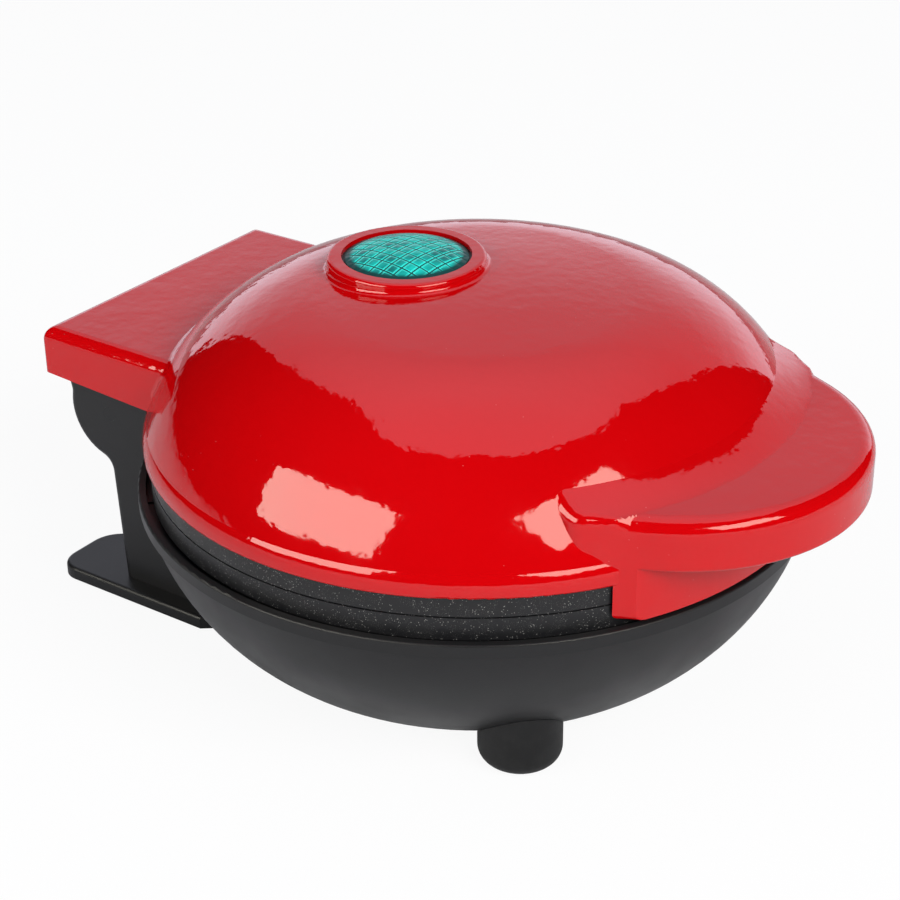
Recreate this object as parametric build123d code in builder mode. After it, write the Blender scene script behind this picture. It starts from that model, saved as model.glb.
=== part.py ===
from build123d import *
import os
from math import asin, cos, degrees, radians, sin, sqrt

# Bubble waffle maker with a hinged, domed lid.
# Millimetres. Heights are above the table. The handle is towards -y and the hinge towards +y.
# Places in plan are measured from the upright axis of the two round plates.

# Bubble cups: one in the middle and three rings of six round it
cup_radius = 7.5
cup_wall = 1.6
cup_pitch = 18.5
ring_cup_count = 6
middle_ring_angle = 30.0
cup_mouth_chamfer = 0.5
pad_radius = 8.2
pad_height = 0.55

# Round plates
plate_seam_height = 40.1
plate_seam_gap = 0.3
upper_rim_thickness = 3.75
lower_rim_thickness = 4.25
cooking_margin = 6.3
plate_rim_width = 11.6
land_depth = 2.3
land_thickness = 2.0

# Screws that hold each plate
screw_edge_distance = 4.2
screw_count = 4
screw_start_angle = 45.0
screw_radius = 1.5
screw_head_radius = 2.9
screw_head_height = 1.6
screw_length = 12.0
screw_hole_clearance = 0.2
screw_pilot_clearance = 0.03
post_radius = 2.6
post_rib_width = 2.4

# Heating elements and heat shields
element_radius = 3.0
element_cup_gap = 1.2
element_gap_angle = 40.0
element_seat_gap = 0.3
terminal_radius = 1.4
terminal_length = 7.0
rear_angle = 90.0
shield_thickness = 0.8
shield_side_gap = 0.9
shield_cup_gap = 2.8
shield_flange_clearance = 0.3
shield_window_radius = 10.0

# Lid
lid_overhang = 1.1
lid_wall = 2.4
rim_band_height = 3.2
rim_band_step = 0.9
rim_edge_round = 0.8
crease_rise = 4.4
dome_rise = 30.4
crown_radius = 400.0
crown_angle = 4.3

# Handle at the front of the lid and the skirt below it
handle_radius = 36.3
handle_overlap = 21.3
handle_rise = 3.1
handle_thickness = 9.6
handle_top_round = 2.8
handle_bottom_round = 0.8
handle_blend_radius = 9.0
handle_flare_angle = 66.0
handle_flare_width = 3.7
handle_flare_depth = 4.4
handle_flare_round = 4.0
handle_root_depth = 13.2
handle_wall = 2.4
handle_rib_count = 3
handle_rib_pitch = 13.0
handle_rib_thickness = 1.6
skirt_drop = 9.9
skirt_wall = 1.8
skirt_clearance = 0.7
skirt_end_round = 1.2

# Light on the lid
light_reach = 15.9
boss_radius = 15.2
boss_rise = 1.8
boss_round = 0.8
boss_foot_round = 0.9
boss_depth = 6.4
boss_wall = 2.8
gasket_wall = 0.6
lens_wall = 1.5
lens_crown = 2.4
lens_sink = 0.9
lens_flange_width = 1.2
lens_flange_height = 1.4
lens_flange_clearance = 0.3
holder_thickness = 1.5
holder_tube_wall = 1.4
holder_tube_length = 8.0
lamp_radius = 3.2
lamp_length = 14.0
lamp_end_round = 2.9
lamp_clearance = 0.05

# Thermostat under the lower plate and thermal fuse above the upper one
thermostat_radius = 7.9
thermostat_base_radius = 6.4
thermostat_base_height = 5.4
thermostat_blade_width = 4.8
thermostat_blade_thickness = 0.8
thermostat_blade_length = 6.0
thermostat_blade_offset = 3.2
strap_half_length = 18.0
strap_width = 17.0
strap_thickness = 0.8
fuse_radius = 2.0
fuse_length = 12.0
fuse_lead_radius = 0.5
fuse_lead_length = 6.0
clip_thickness = 0.6
clip_width = 5.0
clip_foot = 4.0

# Hinge
hinge_setback = 4.5
hinge_rise = 0.1
hinge_cheek_radius = 10.7
hinge_eye_radius = 4.8
hinge_eye_width = 4.0
hinge_side_gap = 0.3
hinge_pin_radius = 1.5
pin_press_clearance = 0.02
pin_running_clearance = 0.05
pin_inner_overhang = 0.5
eye_web_root = 12.0
eye_web_low = 8.6
eye_web_knee = 6.1
eye_web_top = 9.0
eye_web_neck = 7.35
eye_web_drop = 1.2

# Bowl of the base
bowl_margin = 1.8
bowl_side_radius = 46.0
bowl_draft_angle = 11.5
bowl_bottom = 2.0
bowl_corner_round = 14.0
bowl_wall = 2.2
lip_step = 0.9
lip_rise = 0.6
lip_height = 2.5
lip_wall = 1.5
lip_overlap = 0.2
lip_edge_round = 0.4
ledge_width = 1.6
groove_width = 2.1
groove_depth = 1.1
hinge_trim_gap = 0.6

# Column at the rear of the base
column_half_width = 30.0
column_side_wall = 2.8
column_wall = 2.5
column_depth = 25.4
column_front_drop = 0.8
column_top_rise = 4.8
column_top_setback = 2.9
column_rear_wall_drop = 1.4
column_shelf_lean = 2.1
column_shelf_drop = 8.4
column_waist_lean = 7.6
column_waist_drop = 5.0
column_foot_lean = 1.8
column_waist_round = 3.0
column_shelf_round = 2.5
column_edge_round = 1.5
wire_window_half_width = 10.0
wire_window_bottom = 14.0
wire_window_top = 22.0

# Cover over the hinge at the rear of the lid
cover_side_overhang = 3.0
cover_rear_overhang = 13.8
cover_front_depth = 28.0
cover_step = 0.2
cover_rear_gap = 2.3
cover_front_rise = 1.0
cover_wall = 2.5
cover_corner_round = 1.2
cover_top_round = 2.6

# Foot plate below the column
foot_side_overhang = 4.0
foot_rear_overhang = 1.5
foot_plate_bottom = 0.6
foot_plate_thickness = 2.6
foot_side_length = 39.3
foot_front_length = 16.0
foot_front_half_width = 22.0
foot_notch_half_width = 19.5
foot_notch_floor_half_width = 11.0
foot_notch_depth = 11.3
foot_corner_round = 5.0
foot_lobe_round = 7.0
foot_edge_round = 0.8
corner_tolerance = 0.5

# Feet
front_foot_inset = 18.16
front_foot_angle = 43.86
front_foot_radius = 7.8
front_foot_height = 20.0
front_foot_round = 3.0
foot_plug_radius = 3.0
foot_plug_top = 12.0
plug_clearance = 0.05
rear_pad_side_inset = 10.0
rear_pad_rear_inset = 8.8
rear_pad_radius = 6.0
rear_pad_sink = 0.8

# Mains entry at the foot of the column
gland_height = 13.0
gland_bore_radius = 3.3
gland_body_radius = 4.6
gland_flange_radius = 6.8
gland_flange_thickness = 2.0
gland_flange_round = 1.0
gland_collar_radius = 5.6
gland_collar_thickness = 1.6
gland_recess = 0.2
gland_clearance = 0.05
block_half_width = 10.0
block_depth = 8.0
block_height = 8.0
block_gap = 0.8
block_pole_count = 3
block_pole_radius = 1.8
block_pole_depth = 5.0

# Plates and what is carried by them, worked out from the cups outwards
cup_rings = (
    (cup_pitch, 0.0),
    (cup_pitch * sqrt(3), middle_ring_angle),
    (cup_pitch + cup_pitch, 0.0),
)
outer_cup_reach = cup_pitch + cup_pitch + cup_radius
cooking_radius = outer_cup_reach + cooking_margin
plate_radius = cooking_radius + plate_rim_width
screw_ring_radius = plate_radius - screw_edge_distance
element_ring_radius = outer_cup_reach + cup_wall + element_cup_gap + element_radius
shield_radius = element_ring_radius + element_radius + shield_side_gap + shield_thickness
upper_face_height = plate_seam_height + plate_seam_gap / 2
lower_face_height = plate_seam_height - plate_seam_gap / 2
lid_edge_height = upper_face_height + upper_rim_thickness
ledge_height = lower_face_height - lower_rim_thickness
pad_depth = land_depth + cup_radius + cup_wall + pad_height
shield_depth = pad_depth + shield_cup_gap - lower_rim_thickness

# Lid, handle and light
lid_radius = plate_radius + lid_overhang
dome_radius = lid_radius - rim_band_step
dome_top = lid_edge_height + dome_rise
handle_centre_reach = lid_radius - handle_overlap
handle_bottom = lid_edge_height + handle_rise
handle_top = handle_bottom + handle_thickness
handle_flare_x = handle_radius + handle_flare_width
handle_flare_reach = handle_centre_reach + handle_flare_depth
skirt_bottom = handle_bottom - skirt_drop
skirt_inner_radius = plate_radius + skirt_clearance
boss_top = dome_top + boss_rise
boss_seat = boss_top - boss_depth - lid_wall
light_bore_radius = boss_radius - boss_wall
lens_radius = light_bore_radius - gasket_wall
lens_edge_height = boss_top - lens_sink
lens_flange_radius = light_bore_radius + lens_flange_width

# Bowl, hinge, cover, column and foot plate
bowl_radius = plate_radius + bowl_margin
lip_radius = bowl_radius + lip_step
lip_inner_radius = lip_radius - lip_wall
lip_top = ledge_height + lip_rise
lip_bottom = lip_top - lip_height
bowl_shoulder_height = lip_bottom + lip_overlap
groove_inner_radius = lip_inner_radius - groove_width
ledge_inner_radius = groove_inner_radius - ledge_width
hinge_reach = lid_radius + hinge_setback
hinge_height = plate_seam_height + hinge_rise
cover_half_width = column_half_width + cover_side_overhang
cover_reach = hinge_reach + cover_rear_overhang
cover_front_reach = hinge_reach - cover_front_depth
cover_top = handle_top + cover_step
cover_front_bottom = lid_edge_height + cover_front_rise
column_top_height = hinge_height + column_top_rise
cover_rear_bottom = column_top_height + cover_rear_gap
column_rear_wall_top = column_top_height - column_rear_wall_drop
column_shelf_height = column_top_height - column_shelf_drop
column_waist_height = column_shelf_height - column_waist_drop
column_top_reach = cover_reach - column_top_setback
column_shelf_reach = column_top_reach - column_shelf_lean
column_waist_reach = column_shelf_reach - column_waist_lean
column_foot_reach = column_waist_reach - column_foot_lean
column_front_reach = column_foot_reach - column_depth
foot_half_width = column_half_width + foot_side_overhang
foot_reach = cover_reach + foot_rear_overhang
foot_side_start = foot_reach - foot_side_length
foot_front_reach = foot_side_start - foot_front_length
foot_notch_reach = foot_reach - foot_notch_depth
foot_plate_top = foot_plate_bottom + foot_plate_thickness
front_foot_ring_radius = bowl_radius - front_foot_inset
front_foot_x = front_foot_ring_radius * cos(radians(front_foot_angle))
front_foot_reach = front_foot_ring_radius * sin(radians(front_foot_angle))
rear_pad_x = foot_half_width - rear_pad_side_inset
rear_pad_reach = foot_reach - rear_pad_rear_inset
gland_seat_reach = column_foot_reach - gland_recess
gland_inner_reach = column_foot_reach - column_wall - gland_collar_thickness
block_reach = gland_inner_reach - block_gap - block_depth

# The box of the whole maker is centred on the origin in y
front_reach = handle_centre_reach + handle_radius
pan_y = (front_reach - foot_reach) / 2
pan_axis = Axis((0, pan_y, 0), (0, 0, 1))
section = Plane((0, pan_y, 0), x_dir=(1, 0, 0), z_dir=(0, -1, 0))
far_up = 2 * boss_top


def level(height):
    """Horizontal plane at a height, with its origin on the axis of the plates."""
    return Plane((0, pan_y, height))


def side(x):
    """Upright plane across the hinge, with y to the right and z up."""
    return Plane((x, pan_y, 0), x_dir=(0, 1, 0), z_dir=(1, 0, 0))


def dome_body(inset):
    """Solid of the dome and its rim band, drawn inwards by inset."""
    edge = lid_edge_height
    top = dome_top - inset
    crown_arc_radius = crown_radius - inset
    with BuildPart() as body:
        with BuildSketch(section):
            with BuildLine():
                crown = CenterArc((0, top - crown_arc_radius), crown_arc_radius, 90, -crown_angle)
                shoulder = TangentArc(
                    crown @ 1, (dome_radius - inset, edge + crease_rise), tangent=crown % 1
                )
                Polyline(
                    shoulder @ 1,
                    (lid_radius - inset, edge + rim_band_height),
                    (lid_radius - inset, edge),
                    (0, edge),
                    crown @ 0,
                )
            make_face()
        revolve(axis=pan_axis)
    return body.part


def bowl_body(inset):
    """Solid of the bowl up to its shoulder, drawn inwards by inset."""
    centre_radius = bowl_radius - bowl_side_radius * cos(radians(bowl_draft_angle))
    centre_height = bowl_shoulder_height + bowl_side_radius * sin(radians(bowl_draft_angle))
    arc_radius = bowl_side_radius - inset
    floor = bowl_bottom + inset
    floor_angle = degrees(asin((centre_height - floor) / arc_radius))
    with BuildPart() as body:
        with BuildSketch(section) as profile:
            with BuildLine():
                centre = (centre_radius, centre_height)
                wall = CenterArc(centre, arc_radius, -bowl_draft_angle, bowl_draft_angle - floor_angle)
                Polyline(
                    wall @ 0,
                    (bowl_radius - inset, lip_top),
                    (0, lip_top),
                    (0, floor),
                    wall @ 1,
                )
            make_face()
            corner = profile.vertices().group_by(Axis.Y)[0].sort_by(Axis.X)[-1]
            fillet(corner, bowl_corner_round)
        revolve(axis=pan_axis)
    return body.part


# Plan of the grip: a round front, with sides that flare out where they join the dome
with BuildSketch() as handle_plan:
    with BuildLine():
        front = CenterArc(
            (0, -handle_centre_reach), handle_radius, -90 - handle_flare_angle, 2 * handle_flare_angle
        )
        flare = TangentArc(front @ 1, (handle_flare_x, -handle_flare_reach), tangent=front % 1)
        root = Polyline(flare @ 1, (handle_radius, handle_root_depth - handle_centre_reach), (0, 0))
        mirror(flare, about=Plane.YZ)
        mirror(root, about=Plane.YZ)
    make_face()
    flare_ends = handle_plan.vertices().filter_by(
        lambda corner: corner.Y > -handle_centre_reach - handle_radius * cos(radians(handle_flare_angle))
    )
    fillet(flare_ends.group_by(Axis.Y)[0], handle_flare_round)

# Lid shell: the outside is put together first, then the hollows are taken out of it
crown_slope = Vector(sin(radians(crown_angle)), cos(radians(crown_angle)))
crown_end = Vector(0, dome_top - crown_radius) + crown_slope * crown_radius
shoulder_span = crown_end - Vector(dome_radius, lid_edge_height + crease_rise)
shoulder_radius = shoulder_span.length**2 / (2 * shoulder_span.dot(crown_slope))
shoulder_centre = crown_end - crown_slope * shoulder_radius

# The top of the grip is flat, and sweeps up to meet the dome in a hollow curve
blend_height = handle_top + handle_blend_radius
blend_reach = sqrt(
    (shoulder_radius + handle_blend_radius) ** 2 - (blend_height - shoulder_centre.Y) ** 2
)
blend_centre = Vector(shoulder_centre.X + blend_reach, blend_height)
blend_end = blend_centre + (shoulder_centre - blend_centre).normalized() * handle_blend_radius
with BuildPart() as handle_air:
    with BuildSketch(section):
        with BuildLine():
            blend = RadiusArc(blend_end, (blend_centre.X, handle_top), handle_blend_radius)
            Polyline(
                blend @ 1,
                (far_up, handle_top),
                (far_up, far_up),
                (blend_end.X, far_up),
                blend @ 0,
            )
        make_face()
    revolve(axis=pan_axis)

with BuildPart() as handle:
    with BuildSketch(level(handle_bottom)):
        add(handle_plan.sketch)
    extrude(amount=blend_end.Y - handle_bottom)
    add(handle_air.part, mode=Mode.SUBTRACT)
    top_faces = handle.faces().filter_by(Axis.Z).group_by(Axis.Z)[1] + handle.faces().filter_by(GeomType.TORUS)
    top_rim = top_faces.edges().filter_by(
        lambda edge: edge.geom_type != GeomType.CIRCLE or edge.radius < skirt_inner_radius - handle_blend_radius
    )
    fillet(top_rim, handle_top_round)
    fillet(handle.edges().group_by(Axis.Z)[0].filter_by(GeomType.CIRCLE), handle_bottom_round)

with BuildPart() as skirt:
    with BuildSketch(level(skirt_bottom)):
        Circle(skirt_inner_radius + skirt_wall)
        add(handle_plan.sketch, mode=Mode.INTERSECT)
        Circle(skirt_inner_radius, mode=Mode.SUBTRACT)
    extrude(amount=handle_bottom + handle_bottom_round - skirt_bottom)
    skirt_ends = skirt.edges().group_by(Axis.Z)[0].filter_by(lambda edge: edge.radius < skirt_inner_radius)
    fillet(skirt_ends, skirt_end_round)

# The grip is moulded hollow from below, with ribs across the hollow
with BuildPart() as handle_hollow:
    with BuildSketch(level(handle_bottom - handle_bottom_round)):
        with Locations((0, -handle_centre_reach)):
            Circle(handle_radius - handle_wall)
        Circle(skirt_inner_radius + skirt_wall, mode=Mode.SUBTRACT)
        with Locations((0, -handle_centre_reach)):
            with GridLocations(handle_rib_pitch, 0, handle_rib_count, 1):
                Rectangle(handle_rib_thickness, 2 * handle_radius, mode=Mode.SUBTRACT)
    extrude(amount=handle_thickness + handle_bottom_round - handle_wall)

with BuildPart() as hinge_cover:
    with BuildSketch(side(0)):
        with BuildLine():
            Polyline(
                (cover_front_reach, cover_front_bottom),
                (cover_reach, cover_rear_bottom),
                (cover_reach, cover_top),
                (cover_front_reach, cover_top),
                close=True,
            )
        make_face()
    extrude(amount=cover_half_width, both=True)
    fillet(hinge_cover.edges().filter_by(Axis.Z).group_by(Axis.Y)[-1], cover_corner_round)
    fillet(hinge_cover.faces().sort_by(Axis.Z)[-1].edges(), cover_top_round)

with BuildPart() as cover_hollow:
    with BuildSketch(side(0)):
        with BuildLine():
            Polyline(
                (cover_front_reach, hinge_height),
                (cover_reach - cover_wall, hinge_height),
                (cover_reach - cover_wall, cover_top - cover_wall),
                (cover_front_reach, cover_top - cover_wall),
                close=True,
            )
        make_face()
    extrude(amount=cover_half_width - cover_wall, both=True)
    add(dome_body(0), mode=Mode.SUBTRACT)

with BuildPart() as lid_hollow:
    add(dome_body(lid_wall))
    with BuildSketch(level(lid_edge_height + shield_thickness)):
        with PolarLocations(screw_ring_radius, screw_count, start_angle=screw_start_angle):
            Circle(post_radius)
            Rectangle(lid_radius - screw_ring_radius, post_rib_width, align=(Align.MIN, Align.CENTER))
    extrude(amount=dome_rise, mode=Mode.SUBTRACT)
    with BuildSketch(level(boss_seat)):
        with Locations((0, light_reach)):
            Circle(boss_radius)
    extrude(amount=dome_rise, mode=Mode.SUBTRACT)

# Eyes that hang from the rear of the lid and turn on the hinge pins
eye_outer = column_half_width - column_side_wall - hinge_side_gap
eye_inner = eye_outer - hinge_eye_width
with BuildPart() as hinge_eyes:
    for eye_start in (eye_inner, -eye_outer):
        with BuildSketch(side(eye_start)):
            with BuildLine():
                Polyline(
                    (hinge_reach, hinge_height - eye_web_drop),
                    (hinge_reach - eye_web_knee, hinge_height),
                    (hinge_reach - eye_web_low, lid_edge_height),
                    (hinge_reach - eye_web_root, lid_edge_height),
                    (hinge_reach - eye_web_root, hinge_height + eye_web_top),
                    (hinge_reach - eye_web_neck, hinge_height + eye_web_top),
                    (hinge_reach, hinge_height),
                    close=True,
                )
            make_face()
            with Locations((hinge_reach, hinge_height)):
                Circle(hinge_eye_radius)
        extrude(amount=hinge_eye_width)
    add(dome_body(lid_wall), mode=Mode.SUBTRACT)
    with BuildSketch(side(-column_half_width)):
        with Locations((hinge_reach, hinge_height)):
            Circle(hinge_pin_radius + pin_running_clearance)
    extrude(amount=2 * column_half_width, mode=Mode.SUBTRACT)

with BuildPart() as lid_shell:
    add(dome_body(0))
    fillet(lid_shell.edges().group_by(Axis.Z)[0], rim_edge_round)
    with BuildSketch(level(lid_edge_height + crease_rise)):
        with Locations((0, light_reach)):
            Circle(boss_radius)
    extrude(amount=boss_top - lid_edge_height - crease_rise)
    fillet(lid_shell.edges(Select.LAST).filter_by(GeomType.BSPLINE), boss_foot_round)
    fillet(lid_shell.edges().group_by(Axis.Z)[-1], boss_round)
    add(handle.part)
    add(skirt.part)
    add(handle_hollow.part, mode=Mode.SUBTRACT)
    add(hinge_cover.part)
    add(lid_hollow.part, mode=Mode.SUBTRACT)
    add(cover_hollow.part, mode=Mode.SUBTRACT)
    add(hinge_eyes.part)
    with BuildSketch(level(boss_seat)):
        with Locations((0, light_reach)):
            Circle(light_bore_radius)
    extrude(amount=far_up, mode=Mode.SUBTRACT)
    with BuildSketch(level(boss_seat)):
        with Locations((0, light_reach)):
            Circle(lens_flange_radius + lens_flange_clearance)
    extrude(amount=lens_flange_height, mode=Mode.SUBTRACT)
    with BuildSketch(level(lid_edge_height)):
        with PolarLocations(screw_ring_radius, screw_count, start_angle=screw_start_angle):
            Circle(screw_radius + screw_pilot_clearance)
    extrude(amount=screw_length - upper_rim_thickness + screw_hole_clearance, mode=Mode.SUBTRACT)

lid_shell.part.label = "lid_shell"


# Indicator light: a domed lens in a black ring, held from below by the lamp's holder
with BuildPart() as indicator_lens:
    with BuildSketch(Plane((0, pan_y + light_reach, 0), x_dir=(1, 0, 0), z_dir=(0, -1, 0))):
        with BuildLine():
            cap = ThreePointArc(
                (-lens_radius, lens_edge_height),
                (0, lens_edge_height + lens_crown),
                (lens_radius, lens_edge_height),
            )
            Line(cap @ 0, cap @ 1)
        make_face()
        with Locations((0, boss_seat)):
            Rectangle(2 * lens_radius, lens_edge_height - boss_seat, align=(Align.CENTER, Align.MIN))
            Rectangle(2 * lens_flange_radius, lens_flange_height, align=(Align.CENTER, Align.MIN))
        with BuildLine():
            inner = ThreePointArc(
                (-lens_radius + lens_wall, lens_edge_height - lens_wall / 2),
                (0, lens_edge_height + lens_crown - lens_wall),
                (lens_radius - lens_wall, lens_edge_height - lens_wall / 2),
            )
            Polyline(
                inner @ 1,
                (lens_radius - lens_wall, boss_seat),
                (-lens_radius + lens_wall, boss_seat),
                inner @ 0,
            )
        make_face(mode=Mode.SUBTRACT)
        with Locations((0, boss_seat)):
            Rectangle(far_up, far_up, align=(Align.MAX, Align.CENTER), mode=Mode.SUBTRACT)
    revolve(axis=Axis((0, pan_y + light_reach, 0), (0, 0, 1)))
indicator_lens.part.label = "indicator_lens"

with BuildPart() as lens_gasket:
    with BuildSketch(level(boss_seat + lens_flange_height)):
        with Locations((0, light_reach)):
            Circle(light_bore_radius)
            Circle(lens_radius, mode=Mode.SUBTRACT)
    extrude(amount=lens_edge_height - boss_seat - lens_flange_height)
lens_gasket.part.label = "lens_gasket"

holder_bore_radius = lamp_radius + lamp_clearance
with BuildPart() as lamp_holder:
    with BuildSketch(level(boss_seat - holder_thickness)):
        with Locations((0, light_reach)):
            Circle(boss_radius)
            Circle(holder_bore_radius, mode=Mode.SUBTRACT)
    extrude(amount=holder_thickness)
    with BuildSketch(level(boss_seat - holder_thickness)):
        with Locations((0, light_reach)):
            Circle(holder_bore_radius + holder_tube_wall)
            Circle(holder_bore_radius, mode=Mode.SUBTRACT)
    extrude(amount=-holder_tube_length)
lamp_holder.part.label = "lamp_holder"

with BuildPart() as indicator_lamp:
    with BuildSketch(level(boss_seat - holder_thickness - holder_tube_length)):
        with Locations((0, light_reach)):
            Circle(lamp_radius)
    extrude(amount=lamp_length)
    fillet(indicator_lamp.edges().group_by(Axis.Z)[-1], lamp_end_round)
indicator_lamp.part.label = "indicator_lamp"


def cup_spheres(land, radius, mode):
    """Nineteen spheres whose centres lie on the land of a plate."""
    with Locations(land):
        Sphere(radius, mode=mode)
        for ring_radius, first_angle in cup_rings:
            with PolarLocations(ring_radius, ring_cup_count, start_angle=first_angle):
                Sphere(radius, mode=mode)


# Both plates are one form, seen from the cooking face: local z leaves the plate
def bubble_plate(height, facing, rim_thickness):
    """Cast plate with a sunk cooking field, bubble cups and countersunk screw holes."""
    face = Plane((0, pan_y, height), x_dir=(1, 0, 0), z_dir=(0, 0, facing))
    land = Plane((0, pan_y, height - facing * land_depth), x_dir=(1, 0, 0), z_dir=(0, 0, facing))
    with BuildPart() as plate:
        with BuildSketch(face):
            Circle(plate_radius)
        extrude(amount=-rim_thickness)
        with BuildSketch(land):
            Circle(cooking_radius)
        extrude(amount=-land_thickness)
        cup_spheres(land, cup_radius + cup_wall, Mode.ADD)
        with BuildSketch(land):
            Circle(pad_radius)
        extrude(amount=land_depth - pad_depth)
        with BuildSketch(land):
            Circle(cooking_radius)
        extrude(amount=cup_radius + cup_wall + land_depth, mode=Mode.SUBTRACT)
        cup_spheres(land, cup_radius, Mode.SUBTRACT)
        mouths = plate.edges().filter_by(GeomType.CIRCLE).filter_by(
            lambda edge: abs(edge.radius - cup_radius) < cup_mouth_chamfer / 2
        )
        chamfer(mouths, cup_mouth_chamfer)
        with Locations(face):
            with PolarLocations(screw_ring_radius, screw_count, start_angle=screw_start_angle):
                CounterSinkHole(
                    screw_radius + screw_hole_clearance,
                    screw_head_radius + screw_hole_clearance,
                    depth=rim_thickness,
                )
    return plate.part


upper_plate = bubble_plate(upper_face_height, -1, upper_rim_thickness)
upper_plate.label = "upper_plate"
lower_plate = bubble_plate(lower_face_height, 1, lower_rim_thickness)
lower_plate.label = "lower_plate"


def plate_screws(height, facing):
    """Countersunk screws with their heads flush with the cooking face."""
    face = Plane((0, pan_y, height), x_dir=(1, 0, 0), z_dir=(0, 0, facing))
    with BuildPart() as screws:
        with Locations(face):
            with PolarLocations(screw_ring_radius, screw_count, start_angle=screw_start_angle):
                Cylinder(screw_radius, screw_length, align=(Align.CENTER, Align.CENTER, Align.MAX))
                Cone(
                    screw_radius,
                    screw_head_radius,
                    screw_head_height,
                    align=(Align.CENTER, Align.CENTER, Align.MAX),
                )
    return screws.part


upper_plate_screws = plate_screws(upper_face_height, -1)
upper_plate_screws.label = "upper_plate_screws"
lower_plate_screws = plate_screws(lower_face_height, 1)
lower_plate_screws.label = "lower_plate_screws"


def heating_element(height):
    """Open ring of sheathed element, with a terminal pin at each end."""
    half_gap = element_gap_angle / 2
    with BuildPart() as element:
        with BuildLine(level(height)):
            ring = CenterArc((0, 0), element_ring_radius, rear_angle + half_gap, 360 - element_gap_angle)
        for end, outward in ((ring @ 0, ring % 0 * -1), (ring @ 1, ring % 1)):
            with BuildSketch(Plane(end, z_dir=outward)):
                Circle(terminal_radius)
            extrude(amount=terminal_length)
        with BuildSketch(Plane(ring @ 0, z_dir=ring % 0)):
            Circle(element_radius)
        sweep(path=ring)
    return element.part


element_offset = element_radius + element_seat_gap
land_back = land_depth + land_thickness
upper_element_height = upper_face_height + land_back + element_offset
lower_element_height = lower_face_height - land_back - element_offset
upper_element = heating_element(upper_element_height)
upper_element.label = "upper_element"
lower_element = heating_element(lower_element_height)
lower_element.label = "lower_element"


def heat_shield(height, facing):
    """Pressed tray behind an element, with a flange under the plate's rim."""
    seat = Plane((0, pan_y, height), x_dir=(1, 0, 0), z_dir=(0, 0, facing))
    flange_radius = ledge_inner_radius - shield_flange_clearance
    with BuildPart() as shield:
        with BuildSketch(seat):
            Circle(flange_radius)
        extrude(amount=shield_thickness)
        with BuildSketch(seat):
            Circle(shield_radius)
        extrude(amount=shield_depth)
        with BuildSketch(seat):
            Circle(shield_radius - shield_thickness)
        extrude(amount=shield_depth - shield_thickness, mode=Mode.SUBTRACT)
        with BuildSketch(seat):
            with PolarLocations(screw_ring_radius, screw_count, start_angle=screw_start_angle):
                Circle(screw_radius + screw_hole_clearance)
        extrude(amount=shield_thickness, mode=Mode.SUBTRACT)
    return shield.part


upper_shield = heat_shield(lid_edge_height, 1)
upper_shield.label = "upper_shield"
with BuildPart() as lower_shield:
    add(heat_shield(ledge_height, -1))
    with BuildSketch(level(ledge_height)):
        Circle(shield_window_radius)
    extrude(amount=-shield_depth, mode=Mode.SUBTRACT)
lower_shield.part.label = "lower_shield"


# Thermostat: its metal cap touches the pad below the middle cup, and a strap carries it
thermostat_top = lower_face_height - pad_depth
shield_bottom = ledge_height - shield_depth
with BuildPart() as thermostat:
    with BuildSketch(level(shield_bottom)):
        Circle(thermostat_radius)
    extrude(amount=thermostat_top - shield_bottom)
    with BuildSketch(level(shield_bottom)):
        Circle(thermostat_base_radius)
    extrude(amount=-thermostat_base_height)
    with BuildSketch(level(shield_bottom - thermostat_base_height)):
        with Locations((-thermostat_blade_offset, 0), (thermostat_blade_offset, 0)):
            Rectangle(thermostat_blade_thickness, thermostat_blade_width)
    extrude(amount=-thermostat_blade_length)
thermostat.part.label = "thermostat"

with BuildPart() as thermostat_strap:
    with BuildSketch(level(shield_bottom)):
        Rectangle(2 * strap_half_length, strap_width)
        Circle(thermostat_base_radius + screw_hole_clearance, mode=Mode.SUBTRACT)
    extrude(amount=-strap_thickness)
thermostat_strap.part.label = "thermostat_strap"

# Thermal fuse: clipped on top of the upper shield
shield_top = lid_edge_height + shield_depth
fuse_height = shield_top + fuse_radius + clip_thickness / 2
with BuildPart() as thermal_fuse:
    with BuildSketch(Plane((0, pan_y, fuse_height), z_dir=(1, 0, 0))):
        Circle(fuse_radius)
    extrude(amount=fuse_length / 2, both=True)
    with BuildSketch(Plane((0, pan_y, fuse_height), z_dir=(1, 0, 0))):
        Circle(fuse_lead_radius)
    extrude(amount=fuse_length / 2 + fuse_lead_length, both=True)
thermal_fuse.part.label = "thermal_fuse"

clip_inner = fuse_radius + clip_thickness / 2
clip_outer = clip_inner + clip_thickness
with BuildPart() as fuse_clip:
    with BuildSketch(side(0)):
        with Locations((0, fuse_height)):
            Circle(clip_outer)
        with Locations((0, shield_top)):
            Rectangle(2 * clip_outer, fuse_height - shield_top, align=(Align.CENTER, Align.MIN))
            Rectangle(2 * (clip_outer + clip_foot), clip_thickness, align=(Align.CENTER, Align.MIN))
        with Locations((0, fuse_height)):
            Circle(clip_inner, mode=Mode.SUBTRACT)
            Rectangle(2 * clip_inner, 2 * clip_inner, align=(Align.CENTER, Align.MAX), mode=Mode.SUBTRACT)
        with Locations((0, shield_top)):
            Rectangle(far_up, far_up, align=(Align.CENTER, Align.MAX), mode=Mode.SUBTRACT)
    extrude(amount=clip_width / 2, both=True)
fuse_clip.part.label = "fuse_clip"


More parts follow.
